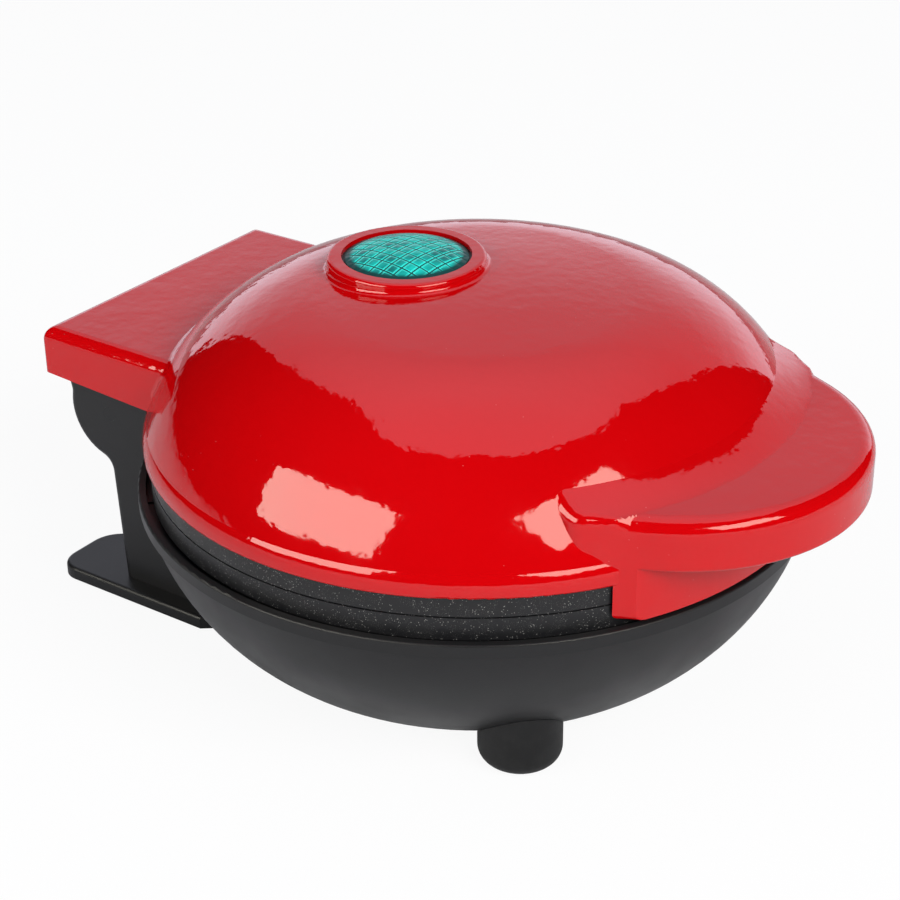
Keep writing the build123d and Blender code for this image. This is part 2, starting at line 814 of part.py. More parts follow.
# Base housing: bowl, column and foot plate in one moulding
column_front_top = hinge_height - column_front_drop
with BuildPart() as column:
    with BuildSketch(side(0)):
        with BuildLine():
            Polyline(
                (column_front_reach, foot_plate_bottom),
                (column_foot_reach, foot_plate_bottom),
                (column_waist_reach, column_waist_height),
                (column_shelf_reach, column_shelf_height),
                (column_top_reach, column_top_height),
                (hinge_reach, column_top_height),
                (hinge_reach - hinge_cheek_radius, column_front_top),
                (column_front_reach, column_front_top),
                close=True,
            )
        make_face()
        with Locations((hinge_reach, hinge_height)):
            Circle(hinge_cheek_radius)
    extrude(amount=column_half_width, both=True)
    rear_edges = column.edges().filter_by(Axis.X)
    waist = rear_edges.sort_by_distance(Vector(0, pan_y + column_waist_reach, column_waist_height))[0]
    fillet(waist, column_waist_round)
    rear_edges = column.edges().filter_by(Axis.X)
    shelf = rear_edges.sort_by_distance(Vector(0, pan_y + column_shelf_reach, column_shelf_height))[0]
    fillet(shelf, column_shelf_round)
    for side_face in (column.faces().sort_by(Axis.X)[0], column.faces().sort_by(Axis.X)[-1]):
        rear_rim = side_face.edges().filter_by(
            lambda edge: edge.center().Y > pan_y + column_foot_reach and edge.center().Z < column_front_top
        )
        fillet(rear_rim, column_edge_round)

with BuildPart() as bowl_outside:
    add(bowl_body(0))
    with BuildSketch(level(lip_bottom)):
        Circle(lip_radius)
    extrude(amount=lip_top - lip_bottom)
    fillet(bowl_outside.edges().group_by(Axis.Z)[-1], lip_edge_round)

column_inner_half_width = column_half_width - column_side_wall
with BuildPart() as column_hollow:
    with BuildSketch(side(0)):
        with BuildLine():
            Polyline(
                (column_front_reach + column_wall, foot_plate_top),
                (column_foot_reach - column_wall, foot_plate_top),
                (column_waist_reach - column_wall, column_waist_height + column_wall / 2),
                (column_shelf_reach - column_wall, column_shelf_height + column_wall / 2),
                (column_top_reach - column_wall, column_rear_wall_top),
                (column_top_reach + column_wall, column_rear_wall_top),
                (column_top_reach + column_wall, boss_top),
                (column_front_reach + column_wall, boss_top),
                close=True,
            )
        make_face()
    extrude(amount=column_inner_half_width, both=True)
    add(bowl_outside.part, mode=Mode.SUBTRACT)
    with BuildSketch(level(wire_window_bottom)):
        with Locations((0, column_front_reach + column_wall)):
            Rectangle(
                2 * wire_window_half_width,
                column_foot_reach - column_front_reach - 2 * column_wall,
                align=(Align.CENTER, Align.MIN),
            )
    extrude(amount=wire_window_top - wire_window_bottom)

with BuildPart() as foot_plate:
    with BuildSketch(level(foot_plate_bottom)) as foot_outline:
        with BuildLine():
            Polyline(
                (-foot_front_half_width, foot_front_reach),
                (-foot_half_width, foot_side_start),
                (-foot_half_width, foot_reach),
                (-foot_notch_half_width, foot_reach),
                (-foot_notch_floor_half_width, foot_notch_reach),
                (foot_notch_floor_half_width, foot_notch_reach),
                (foot_notch_half_width, foot_reach),
                (foot_half_width, foot_reach),
                (foot_half_width, foot_side_start),
                (foot_front_half_width, foot_front_reach),
                close=True,
            )
        make_face()
        rear_corners = foot_outline.vertices().group_by(Axis.Y)[-1].sort_by(Axis.X)
        fillet([rear_corners[0], rear_corners[-1]], foot_corner_round)
        lobe_corners = foot_outline.vertices().filter_by(
            lambda corner: abs(abs(corner.X) - foot_notch_half_width) < corner_tolerance
        )
        fillet(lobe_corners, foot_lobe_round)
        notch_corners = foot_outline.vertices().filter_by(
            lambda corner: abs(abs(corner.X) - foot_notch_floor_half_width) < corner_tolerance
        )
        fillet(notch_corners, foot_corner_round)
    extrude(amount=foot_plate_thickness)
    fillet(foot_plate.faces().sort_by(Axis.Z)[-1].edges(), foot_edge_round)
    with BuildSketch(level(foot_plate_bottom)):
        with Locations((-rear_pad_x, rear_pad_reach), (rear_pad_x, rear_pad_reach)):
            Circle(rear_pad_radius + plug_clearance)
    extrude(amount=rear_pad_sink, mode=Mode.SUBTRACT)

with BuildPart() as bowl_hollow:
    add(bowl_body(bowl_wall))
    with BuildSketch(level(0)):
        Circle(ledge_inner_radius)
    extrude(amount=lip_top, mode=Mode.INTERSECT)
    with BuildSketch(level(ledge_height - groove_depth)):
        Circle(lip_inner_radius)
        Circle(groove_inner_radius, mode=Mode.SUBTRACT)
    extrude(amount=groove_depth)
    with BuildSketch(level(ledge_height)):
        Circle(lip_inner_radius)
    extrude(amount=lip_top - ledge_height)
    with BuildSketch(level(lip_top)):
        Circle(lid_radius + hinge_trim_gap)
    extrude(amount=boss_top)
    with BuildSketch(level(0)):
        with PolarLocations(screw_ring_radius, screw_count, start_angle=screw_start_angle):
            Circle(post_radius)
            Rectangle(lid_radius - screw_ring_radius, post_rib_width, align=(Align.MIN, Align.CENTER))
    extrude(amount=ledge_height - shield_thickness, mode=Mode.SUBTRACT)

with BuildPart() as base_housing:
    add(bowl_outside.part)
    add(column.part)
    add(foot_plate.part)
    add(bowl_hollow.part, mode=Mode.SUBTRACT)
    add(column_hollow.part, mode=Mode.SUBTRACT)
    with BuildSketch(level(0)):
        with Locations((-front_foot_x, -front_foot_reach), (front_foot_x, -front_foot_reach)):
            Circle(foot_plug_radius + plug_clearance)
    extrude(amount=front_foot_height, mode=Mode.SUBTRACT)
    with BuildSketch(side(-column_half_width)):
        with Locations((hinge_reach, hinge_height)):
            Circle(hinge_pin_radius + pin_press_clearance)
    extrude(amount=2 * column_half_width, mode=Mode.SUBTRACT)
    with BuildSketch(Plane((0, pan_y + gland_seat_reach, gland_height), z_dir=(0, 1, 0))):
        Circle(gland_flange_radius + plug_clearance)
    extrude(amount=gland_flange_thickness, mode=Mode.SUBTRACT)
    with BuildSketch(Plane((0, pan_y + gland_seat_reach, gland_height), z_dir=(0, 1, 0))):
        Circle(gland_body_radius + gland_clearance)
    extrude(amount=-2 * column_wall, mode=Mode.SUBTRACT)
    with BuildSketch(level(ledge_height)):
        with PolarLocations(screw_ring_radius, screw_count, start_angle=screw_start_angle):
            Circle(screw_radius + screw_pilot_clearance)
    extrude(amount=lower_rim_thickness - screw_length - screw_hole_clearance, mode=Mode.SUBTRACT)
base_housing.part.label = "base_housing"


# Feet
with BuildPart() as front_feet:
    with BuildSketch(level(0)):
        with Locations((-front_foot_x, -front_foot_reach), (front_foot_x, -front_foot_reach)):
            Circle(front_foot_radius)
    extrude(amount=front_foot_height)
    fillet(front_feet.edges().group_by(Axis.Z)[0], front_foot_round)
    add(bowl_body(-plug_clearance), mode=Mode.SUBTRACT)
    with BuildSketch(level(front_foot_round)):
        with Locations((-front_foot_x, -front_foot_reach), (front_foot_x, -front_foot_reach)):
            Circle(foot_plug_radius)
    extrude(amount=foot_plug_top - front_foot_round)
front_feet.part.label = "front_feet"

with BuildPart() as rear_foot_pads:
    with BuildSketch(level(0)):
        with Locations((-rear_pad_x, rear_pad_reach), (rear_pad_x, rear_pad_reach)):
            Circle(rear_pad_radius)
    extrude(amount=foot_plate_bottom + rear_pad_sink)
rear_foot_pads.part.label = "rear_foot_pads"


# Hinge pins: pressed in the cheeks of the column, running in the eyes of the lid
with BuildPart() as hinge_pins:
    for pin_start, pin_way in ((column_half_width, -1), (-column_half_width, 1)):
        with BuildSketch(side(pin_start)):
            with Locations((hinge_reach, hinge_height)):
                Circle(hinge_pin_radius)
        extrude(amount=pin_way * (column_half_width - eye_inner + pin_inner_overhang))
hinge_pins.part.label = "hinge_pins"


# Mains entry: a bare gland in the rear wall and the terminal block behind it
with BuildPart() as cord_gland:
    with BuildSketch(Plane((0, pan_y + gland_seat_reach, gland_height), z_dir=(0, 1, 0))):
        Circle(gland_flange_radius)
    extrude(amount=gland_flange_thickness)
    with BuildSketch(Plane((0, pan_y + gland_inner_reach, gland_height), z_dir=(0, 1, 0))):
        Circle(gland_body_radius)
    extrude(amount=gland_seat_reach - gland_inner_reach)
    with BuildSketch(Plane((0, pan_y + gland_inner_reach, gland_height), z_dir=(0, 1, 0))):
        Circle(gland_collar_radius)
    extrude(amount=gland_collar_thickness)
    with BuildSketch(Plane((0, pan_y + gland_inner_reach, gland_height), z_dir=(0, 1, 0))):
        Circle(gland_bore_radius)
    extrude(amount=far_up, mode=Mode.SUBTRACT)
    outer_rim = cord_gland.edges().group_by(Axis.Y)[-1].sort_by(SortBy.RADIUS)[-1]
    fillet(outer_rim, gland_flange_round)
cord_gland.part.label = "cord_gland"

with BuildPart() as terminal_block:
    with BuildSketch(level(foot_plate_top)):
        with Locations((0, block_reach)):
            Rectangle(2 * block_half_width, block_depth, align=(Align.CENTER, Align.MIN))
    extrude(amount=block_height)
    with BuildSketch(level(foot_plate_top + block_height)):
        with Locations((0, block_reach + block_depth / 2)):
            with GridLocations(2 * block_half_width / block_pole_count, 0, block_pole_count, 1):
                Circle(block_pole_radius)
    extrude(amount=-block_pole_depth, mode=Mode.SUBTRACT)
terminal_block.part.label = "terminal_block"


# One file for each piece
pieces = (
    lid_shell.part,
    indicator_lens.part,
    lens_gasket.part,
    lamp_holder.part,
    indicator_lamp.part,
    upper_plate,
    upper_plate_screws,
    upper_element,
    upper_shield,
    thermal_fuse.part,
    fuse_clip.part,
    base_housing.part,
    lower_plate,
    lower_plate_screws,
    lower_element,
    lower_shield.part,
    thermostat.part,
    thermostat_strap.part,
    hinge_pins.part,
    front_feet.part,
    rear_foot_pads.part,
    cord_gland.part,
    terminal_block.part,
)
os.makedirs("parts", exist_ok=True)
for piece in pieces:
    export_step(piece, "parts/" + piece.label + ".step")
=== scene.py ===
# %% [markdown]
# # A bubble waffle maker, dressed for its picture
#
# The working model comes in as a fixed frame: every piece already sits where it belongs, in metres.
# This lesson gives each piece its finish, replaces the few pieces whose surface needs finer work, and
# sets up a small studio round it.

# %% Load the frame
from math import acos, cos, pi, radians, sin, sqrt

import bmesh
import bpy
from mathutils import Matrix, Vector


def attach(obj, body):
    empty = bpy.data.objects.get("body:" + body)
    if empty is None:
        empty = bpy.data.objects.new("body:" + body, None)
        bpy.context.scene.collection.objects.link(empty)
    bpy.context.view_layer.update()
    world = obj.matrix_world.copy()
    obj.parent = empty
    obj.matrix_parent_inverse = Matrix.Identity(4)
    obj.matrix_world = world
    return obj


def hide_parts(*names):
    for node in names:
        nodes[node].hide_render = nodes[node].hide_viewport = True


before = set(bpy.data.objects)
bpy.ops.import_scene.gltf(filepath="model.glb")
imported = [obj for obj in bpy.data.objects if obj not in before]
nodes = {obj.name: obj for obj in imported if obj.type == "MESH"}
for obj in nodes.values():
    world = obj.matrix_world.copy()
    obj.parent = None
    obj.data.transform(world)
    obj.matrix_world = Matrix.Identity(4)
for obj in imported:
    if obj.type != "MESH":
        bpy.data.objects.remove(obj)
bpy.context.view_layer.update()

# %% [markdown]
# ## The camera
#
# A product camera stands high and to the left of the grip. Its place came from matching the round
# seams and the foot of the object with the picture. Three directions fix its turn: one that points
# back to the photographer, one to the right of the picture and one up.

# %% Set up the camera
camera_place = Vector((-0.29425, -0.20350, 0.22560))
camera_azimuth = radians(-55.65)
camera_elevation = radians(27.0)
camera_roll = radians(-0.23)
lens_length = 83.32
sensor_width = 36.0

toward_camera = Vector((
    sin(camera_azimuth) * cos(camera_elevation),
    -cos(camera_azimuth) * cos(camera_elevation),
    sin(camera_elevation),
))
picture_right = Vector((cos(camera_azimuth), sin(camera_azimuth), 0))
camera_turn = Matrix((picture_right, toward_camera.cross(picture_right), toward_camera)).transposed()
camera_data = bpy.data.cameras.new("product_camera")
camera_data.lens = lens_length
camera_data.sensor_width = sensor_width
camera_data.shift_x = -0.0299
camera_data.shift_y = -0.0257
camera_data.clip_start = 0.01
camera = bpy.data.objects.new("product_camera", camera_data)
bpy.context.scene.collection.objects.link(camera)
rolled = camera_turn @ Matrix.Rotation(camera_roll, 3, "Z")
camera.matrix_world = Matrix.Translation(camera_place) @ rolled.to_4x4()
bpy.context.scene.camera = camera
print("camera distance in mm:", round(1000 * camera_place.length))

# %% [markdown]
# ## Shader maths that reads like maths
#
# A finish is a small web of nodes. `Wire` wraps one socket, so that `1 - mask` or `wave * 0.2` adds the
# Math node by itself. `Web` holds one tree of nodes, and its `node` method makes any node from its
# type, its settings and its inputs.

# %% Wires and webs
class Wire:
    """One output of a web of nodes. Sums and comparisons on wires add Math nodes."""

    def __init__(self, web, socket):
        self.web = web
        self.socket = socket

    def math(self, operation, first, second):
        return self.web.node("ShaderNodeMath", {"operation": operation}, {0: first, 1: second})

    def __add__(self, other):
        return self.math("ADD", self, other)

    def __sub__(self, other):
        return self.math("SUBTRACT", self, other)

    def __rsub__(self, other):
        return self.math("SUBTRACT", other, self)

    def __mul__(self, other):
        return self.math("MULTIPLY", self, other)

    def __gt__(self, other):
        return self.math("GREATER_THAN", self, other)

    def __lt__(self, other):
        return self.math("LESS_THAN", self, other)

    def higher(self, other):
        return self.math("MAXIMUM", self, other)

    def lower(self, other):
        return self.math("MINIMUM", self, other)


class Web:
    """A tree of nodes that grows one node at a time."""

    def __init__(self, tree):
        self.tree = tree

    def feed(self, socket, value):
        if isinstance(value, Wire):
            self.tree.links.new(value.socket, socket)
        else:
            socket.default_value = value

    def node(self, kind, settings=None, inputs=None, output=0):
        made = self.tree.nodes.new(kind)
        for setting, value in (settings or {}).items():
            setattr(made, setting, value)
        for socket, value in (inputs or {}).items():
            self.feed(made.inputs[socket], value)
        return Wire(self, made.outputs[output])

    def mix(self, share, first, second):
        """Colour between two colours. Mix keeps colours apart from its number sockets by their index."""
        return self.node("ShaderNodeMix", {"data_type": "RGBA"}, {0: share, 6: first, 7: second}, 2)

    def spread(self, value, low, high, start=0.0, end=1.0):
        """Stretches low..high of a value to start..end, with the rest held at the ends."""
        inputs = {"Value": value, "From Min": low, "From Max": high, "To Min": start, "To Max": end}
        return self.node("ShaderNodeMapRange", {"clamp": True}, inputs)


# %% [markdown]
# ## One class for every finish
#
# `Finish` is a web with a surface shader in it. Numbers that are the same all over the piece sit on the
# shader itself. Sizes of grain, cells and bumps are given in millimetres, as a maker measures them.

# %% Finishes
class Finish(Web):
    """A material whose constants sit on the shader and whose detail comes from a few nodes."""

    def __init__(self, name, colour, roughness, **constants):
        self.material = bpy.data.materials.new(name)
        self.material.use_nodes = True
        super().__init__(self.material.node_tree)
        self.shader = self.tree.nodes["Principled BSDF"]
        self.colour = (*colour, 1)
        self.shader.inputs["Base Color"].default_value = self.colour
        self.shader.inputs["Roughness"].default_value = roughness
        for socket, value in constants.items():
            self.shader.inputs[socket.replace("_", " ")].default_value = value

    def place(self):
        """Place on the object, in metres."""
        return self.node("ShaderNodeTexCoord", output="Object")

    def noise(self, size, detail=2.0, roughness=0.5):
        """Soft noise whose grains are about size millimetres across."""
        inputs = {"Vector": self.place(), "Scale": 1000 / size, "Detail": detail, "Roughness": roughness}
        return self.node("ShaderNodeTexNoise", {}, inputs)

    def cells(self, size):
        """Distance to the nearest of scattered points that lie about size millimetres apart."""
        inputs = {"Vector": self.place(), "Scale": 1000 / size}
        return self.node("ShaderNodeTexVoronoi", {}, inputs, "Distance")

    def bump(self, height, depth, under=None):
        """Raises the surface by height times depth millimetres, on top of another bump."""
        inputs = {"Height": height, "Distance": depth / 1000, "Strength": 1.0}
        if under is not None:
            inputs["Normal"] = under
        return self.node("ShaderNodeBump", {}, inputs)

    def shade(self, **links):
        for socket, value in links.items():
            self.feed(self.shader.inputs[socket.replace("_", " ")], value)
        return self.material


def dress(material, *names):
    """Puts one material on CAD nodes by name."""
    for name in names:
        slots = nodes[name].data.materials
        slots.clear()
        slots.append(material)
    print(material.name, "on", ", ".join(names))


# %% [markdown]
# ## Glossy red shell
#
# The lid is moulded in red plastic and polished. Real gloss is never perfect: under a lamp its
# reflections have ragged edges, because the skin has slow waves a few millimetres long and a finer
# ripple on them. Two noises of different size give both as a bump, and a few pale specks of dust lie on
# top. The colour stays nearly pure red, so that the pink comes from the reflected studio.

# %% Red shell finish
def red_shell():
    finish = Finish("red_gloss", (0.60, 0.0010, 0.0026), 0.045)
    ripple = finish.noise(2.3, 1.5)
    waves = finish.noise(7.0, 1.0)
    skin = finish.bump(waves, 0.080, finish.bump(ripple, 0.055))
    speck = (finish.cells(1.5) < 0.05) * (finish.noise(13.0) > 0.60)
    clouds = finish.spread(finish.noise(60.0, 1.0), 0.3, 0.7)
    tone = finish.mix(clouds, (0.55, 0.0008, 0.0022, 1), finish.colour)
    colour = finish.mix(speck * 0.4, tone, (0.80, 0.42, 0.40, 1))
    roughness = finish.spread(finish.noise(9.0, 3.0), 0.3, 0.75, 0.035, 0.075)
    return finish.shade(Base_Color=colour, Roughness=roughness, Normal=skin)


red_gloss = red_shell()
dress(red_gloss, "lid_shell")

# %% [markdown]
# ## Satin black housing
#
# The base is moulded in black with a fine even grain, which spreads every highlight into a soft grey
# sheen. The grain is only a few tenths of a millimetre across, so it is a bump and a slight change of
# roughness, not a shape.

# %% Black housing finish
def black_housing():
    finish = Finish("satin_black", (0.0085, 0.0085, 0.0090), 0.38, Specular_IOR_Level=0.36)
    grain = finish.noise(0.35, 2.0)
    patches = finish.spread(finish.noise(35.0, 3.0), 0.35, 0.7)
    tone = finish.mix(patches, finish.colour, (0.012, 0.012, 0.0125, 1))
    roughness = finish.spread(finish.noise(14.0, 4.0), 0.3, 0.7, 0.33, 0.45)
    return finish.shade(Base_Color=tone, Roughness=roughness, Normal=finish.bump(grain, 0.010))


satin_black = black_housing()
dress(satin_black, "base_housing", "hinge_pins")

# %% [markdown]
# ## Non-stick plates
#
# The cast plates carry a dark coat with bright flecks in it. Small scattered cells make the flecks, a
# noise decides which of them catch the light, and the coat has a faint orange skin.

# %% Plate coat finish
def plate_coat():
    finish = Finish("speckled_coat", (0.011, 0.011, 0.012), 0.40, Specular_IOR_Level=0.4)
    flecks = (finish.cells(0.42) < 0.20) * (finish.noise(0.9, 2.0) > 0.50)
    fine = (finish.cells(0.22) < 0.20) * (finish.noise(2.5, 2.0) > 0.47)
    colour = finish.mix((flecks * 0.6).higher(fine * 0.2), finish.colour, (0.40, 0.39, 0.36, 1))
    skin = finish.bump(finish.noise(0.8, 2.0), 0.02)
    roughness = finish.spread(finish.noise(6.0), 0.3, 0.7, 0.34, 0.48)
    return finish.shade(Base_Color=colour, Roughness=roughness, Normal=skin)


dress(plate_coat(), "upper_plate", "lower_plate")

# %% [markdown]
# ## Small parts
#
# Rubber, heat-proof plastic, glass and metals are mostly hidden, but they show when the lid is up or
# from below. Each gets its own grain: rubber is matt and dusty, plated steel has fine scratches and the
# heated tube has the straw and blue tints of hot metal.

# %% Small part finishes
def rubber(name, shade, roughness):
    finish = Finish(name, (shade, shade, shade * 1.04), roughness, Specular_IOR_Level=0.3)
    dust = finish.spread(finish.noise(5.0, 6.0, 0.65), 0.5, 0.85)
    colour = finish.mix(dust, finish.colour, (shade * 2.0, shade * 2.0, shade * 2.0, 1))
    return finish.shade(Base_Color=colour, Normal=finish.bump(finish.noise(0.5, 3.0), 0.02))


def heat_plastic():
    finish = Finish("heat_plastic", (0.70, 0.67, 0.60), 0.5)
    warm = finish.mix(finish.spread(finish.noise(6.0, 4.0), 0.4, 0.7), finish.colour, (0.62, 0.55, 0.44, 1))
    return finish.shade(Base_Color=warm, Normal=finish.bump(finish.noise(0.6), 0.02))


def bare_metal(name, colour, tint, roughness):
    finish = Finish(name, colour, roughness, Metallic=1.0)
    place = finish.node("ShaderNodeMapping", {}, {"Vector": finish.place(), "Scale": (1, 14, 1)})
    streaks = finish.node("ShaderNodeTexNoise", {}, {"Vector": place, "Scale": 900.0, "Detail": 3.0})
    stain = finish.spread(finish.noise(8.0, 4.0), 0.4, 0.75)
    rough = finish.spread(streaks, 0.3, 0.7, roughness * 0.8, roughness * 1.3)
    shade = finish.mix(stain, finish.colour, (*tint, 1))
    return finish.shade(Base_Color=shade, Roughness=rough, Normal=finish.bump(streaks, 0.006))


def lamp_glass():
    finish = Finish("lamp_glass", (0.82, 0.85, 0.83), 0.08, Transmission_Weight=0.6)
    return finish.shade(Normal=finish.bump(finish.noise(2.0), 0.02))


dress(rubber("gasket_rubber", 0.007, 0.40), "lens_gasket", "cord_gland")
dress(rubber("foot_rubber", 0.0075, 0.50), "front_feet", "rear_foot_pads")
dress(heat_plastic(), "lamp_holder", "thermostat", "terminal_block")
dress(lamp_glass(), "indicator_lamp")
plated_steel = bare_metal("plated_steel", (0.60, 0.60, 0.59), (0.46, 0.45, 0.43), 0.32)
dress(plated_steel, "thermostat_strap", "fuse_clip")
pressed_shield = bare_metal("pressed_shield", (0.68, 0.68, 0.67), (0.55, 0.53, 0.50), 0.28)
dress(pressed_shield, "upper_shield", "lower_shield")
heated_tube = bare_metal("heated_tube", (0.20, 0.17, 0.15), (0.12, 0.11, 0.15), 0.4)
dress(heated_tube, "upper_element", "lower_element")
dress(bare_metal("tinned_case", (0.68, 0.62, 0.48), (0.52, 0.47, 0.38), 0.3), "thermal_fuse")

# %% [markdown]
# ## From a bmesh to a piece
#
# New pieces are drawn in millimetres. `make_piece` turns the faces outwards, scales the mesh to metres,
# marks the sharp edges and lets the piece ride on its body. Two more helpers are used by several
# pieces: one grows a rim outwards or inwards to a ring, the other names what an operator made.

# %% Helpers for new pieces
def make_piece(name, bm, material, body, sharp_from):
    bmesh.ops.recalc_face_normals(bm, faces=bm.faces)
    bmesh.ops.scale(bm, vec=(0.001, 0.001, 0.001), verts=bm.verts)
    mesh = bpy.data.meshes.new(name)
    bm.to_mesh(mesh)
    bm.free()
    mesh.shade_smooth()
    mesh.set_sharp_from_angle(angle=radians(sharp_from))
    mesh.materials.append(material)
    piece = bpy.data.objects.new(name, mesh)
    bpy.context.scene.collection.objects.link(piece)
    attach(piece, body)
    size = [round(1000 * side, 1) for side in piece.dimensions]
    print(name, "has", len(mesh.polygons), "faces, size in mm:", size)
    return piece


def made_verts(result):
    return [item for item in result["geom"] if isinstance(item, bmesh.types.BMVert)]


def made_edges(result):
    return [item for item in result["geom"] if isinstance(item, bmesh.types.BMEdge)]


def grow_rim(bm, edges, radius, height):
    """Extrudes a rim of edges to a ring of that radius and height about the z axis."""
    result = bmesh.ops.extrude_edge_only(bm, edges=edges)
    for vert in made_verts(result):
        flat = Vector((vert.co.x, vert.co.y)).normalized() * radius
        vert.co = Vector((flat.x, flat.y, height))
    return made_edges(result)


# %% [markdown]
# ## Lid with a hollow behind the grip
#
# On the real lid the flat grip sweeps up to the dome in a shallow hollow, and the rim below the dome is
# softly rounded, so that lamps draw a long line of light on it. The working model has a full, raised
# blend in the first place and a flat slope in the second. A ball that rests on both the grip and the
# dome gives the two rings between which the blend lies.

# %% Values of the grip hollow and the rim
shoulder_centre = (27.1712, 35.7659)
shoulder_radius = 37.6141
plate_axis_y = -2.4
grip_top = 56.7
blend_radius = 9.0
hollow_power = 1.35
rim_crease = (62.6, 48.4)
rim_edge_reach = 63.5
rim_ledge_height = 47.2
bead_radius = 4.72

ball_height = grip_top + blend_radius
ball_lift = ball_height - shoulder_centre[1]
hollow_reach = shoulder_centre[0] + sqrt((shoulder_radius + blend_radius) ** 2 - ball_lift ** 2)
to_dome = blend_radius / (shoulder_radius + blend_radius)
hollow_start = hollow_reach - (hollow_reach - shoulder_centre[0]) * to_dome
start_height = ball_height - ball_lift * to_dome
bead_angle = acos(1 - (rim_edge_reach - rim_crease[0]) / bead_radius)
bead_height = rim_crease[1] - bead_radius * sin(bead_angle)
print("hollow from reach", round(hollow_start, 2), "to", round(hollow_reach, 2))
print("rim bead above", round(bead_height, 2))

# %% [markdown]
# ## Heights before and after
#
# Both blends are functions of the reach, the distance from the upright axis of the plates. The raised
# one is an arc that leaves the dome level. The hollow is a power curve, level where it leaves the
# grip. Their difference says how far a point drops, and its slope says how far a normal turns.


# %% Old and new heights on the grip
def raised(reach):
    """Height of the raised blend of the working model."""
    return start_height - blend_radius + sqrt(blend_radius ** 2 - (reach - hollow_start) ** 2)


def hollow(reach):
    """Height of the new sweep, level at the grip and steeper towards the dome."""
    climb = (hollow_reach - reach) / (hollow_reach - hollow_start)
    return grip_top + (start_height - grip_top) * climb ** hollow_power


def dome(reach):
    return shoulder_centre[1] + sqrt(shoulder_radius ** 2 - (reach - shoulder_centre[0]) ** 2)


def change(reach):
    """Change of height on the grip, held at its two ends."""
    held = min(max(reach, hollow_start), hollow_reach)
    return hollow(held) - raised(held)


def slope_change(reach):
    """Rise of that change per millimetre of reach, taken inside the sweep."""
    step = 0.02
    inside = min(max(reach, hollow_start + step), hollow_reach - step)
    return (change(inside + step) - change(inside - step)) / (2 * step)


print("drop halfway across the blend:", round(-change((hollow_start + hollow_reach) / 2), 2))

# %% [markdown]
# ## Which points belong to the grip and to the rim
#
# A point is on the blend or on the rounding along its ends if it is on the side of the grip, lies
# between the two rings, isn't far below the raised blend and stands off the dome. A point of the rim
# lies on the slope below the crease or on the short wall under it.

# %% Tell the places apart
grip_facing = -0.5
grip_depth = 2.95
off_dome = 0.03
under_dome = 0.05
rim_gap = 0.03
rim_margin = 0.01


def polar(place):
    """Reach from the plates' axis, height, both in millimetres, and the outward direction."""
    x, y, z = place.x * 1000, place.y * 1000 - plate_axis_y, place.z * 1000
    reach = sqrt(x * x + y * y)
    return reach, z, Vector((x / reach, y / reach, 0)) if reach else Vector((1, 0, 0))


def on_grip(place):
    """Whether a place is on the raised blend or on the rounding along its ends, and off the dome."""
    reach, height, way = polar(place)
    if way.y > grip_facing or not hollow_start < reach < hollow_reach:
        return False
    return max(raised(reach) - grip_depth, dome(reach) + off_dome) < height


def on_rim(place):
    reach, height, way = polar(place)
    share = (rim_crease[1] - height) / (rim_crease[1] - rim_ledge_height)
    slope_reach = rim_crease[0] + share * (rim_edge_reach - rim_crease[0])
    level = bead_height - rim_margin < height < rim_crease[1] + rim_margin
    return level and abs(reach - min(slope_reach, rim_edge_reach)) < rim_gap


# %% [markdown]
# ## Rework a copy of the lid
#
# A merged copy of the mesh keeps all other shapes. Only points of the blend and the rim move, straight
# down on the grip and inwards on the rim. Each corner of a face remembers which way it faced and is
# turned by the change of slope, so that the gloss stays as smooth as before.

# %% Rework the lid
bead_steps = 6
merge_distance = 0.000001
cut_distance = 0.0000001


def face_way(bm, mesh):
    """Layer that holds, for each corner, the way it faces on the working model."""
    facing = bm.loops.layers.float_vector.new("facing")
    for face, polygon in zip(bm.faces, mesh.polygons):
        for loop, index in zip(face.loops, polygon.loop_indices):
            loop[facing] = mesh.corner_normals[index].vector
    return facing


def cut_rim(bm):
    """Cuts level rings into the rim, so that it can be rounded."""
    for step in range(bead_steps):
        height = bead_height + (rim_crease[1] - bead_height) * step / bead_steps
        everything = bm.verts[:] + bm.edges[:] + bm.faces[:]
        ring = Vector((0, 0, height / 1000))
        bmesh.ops.bisect_plane(bm, geom=everything, dist=cut_distance, plane_co=ring, plane_no=(0, 0, 1))


def grip_normal(place, normal):
    """Normal of a corner on the new sweep, or of the dome where the sweep ends under it."""
    reach, height, way = polar(place)
    if height + change(reach) < dome(reach) - under_dome:
        return way * (reach - shoulder_centre[0]) + Vector((0, 0, dome(reach) - shoulder_centre[1]))
    return normal - way * (slope_change(reach) * normal.z)


def rim_normal(place):
    """Normal of a corner on the bead."""
    height, way = polar(place)[1:]
    lift = min((height - bead_height) / bead_radius, 1)
    return way * sqrt(1 - lift ** 2) + Vector((0, 0, lift))


def turn_corners(bm, facing, rim_verts):
    turned = 0
    for face in bm.faces:
        if on_grip(face.calc_center_median()):
            for loop in face.loops:
                loop[facing] = grip_normal(loop.vert.co, loop[facing]).normalized()
                turned += 1
        elif all(vert in rim_verts for vert in face.verts):
            for loop in face.loops:
                loop[facing] = rim_normal(loop.vert.co)
    return turned


def move_points(bm, rim_verts):
    moved = 0
    for vert in bm.verts:
        reach, height, way = polar(vert.co)
        if on_grip(vert.co):
            vert.co.z = max(height + change(reach), dome(reach)) / 1000
            moved += 1
        elif vert in rim_verts:
            bead_reach = rim_edge_reach - bead_radius + sqrt(bead_radius ** 2 - (height - bead_height) ** 2)
            vert.co -= way * ((reach - bead_reach) / 1000)
    return moved


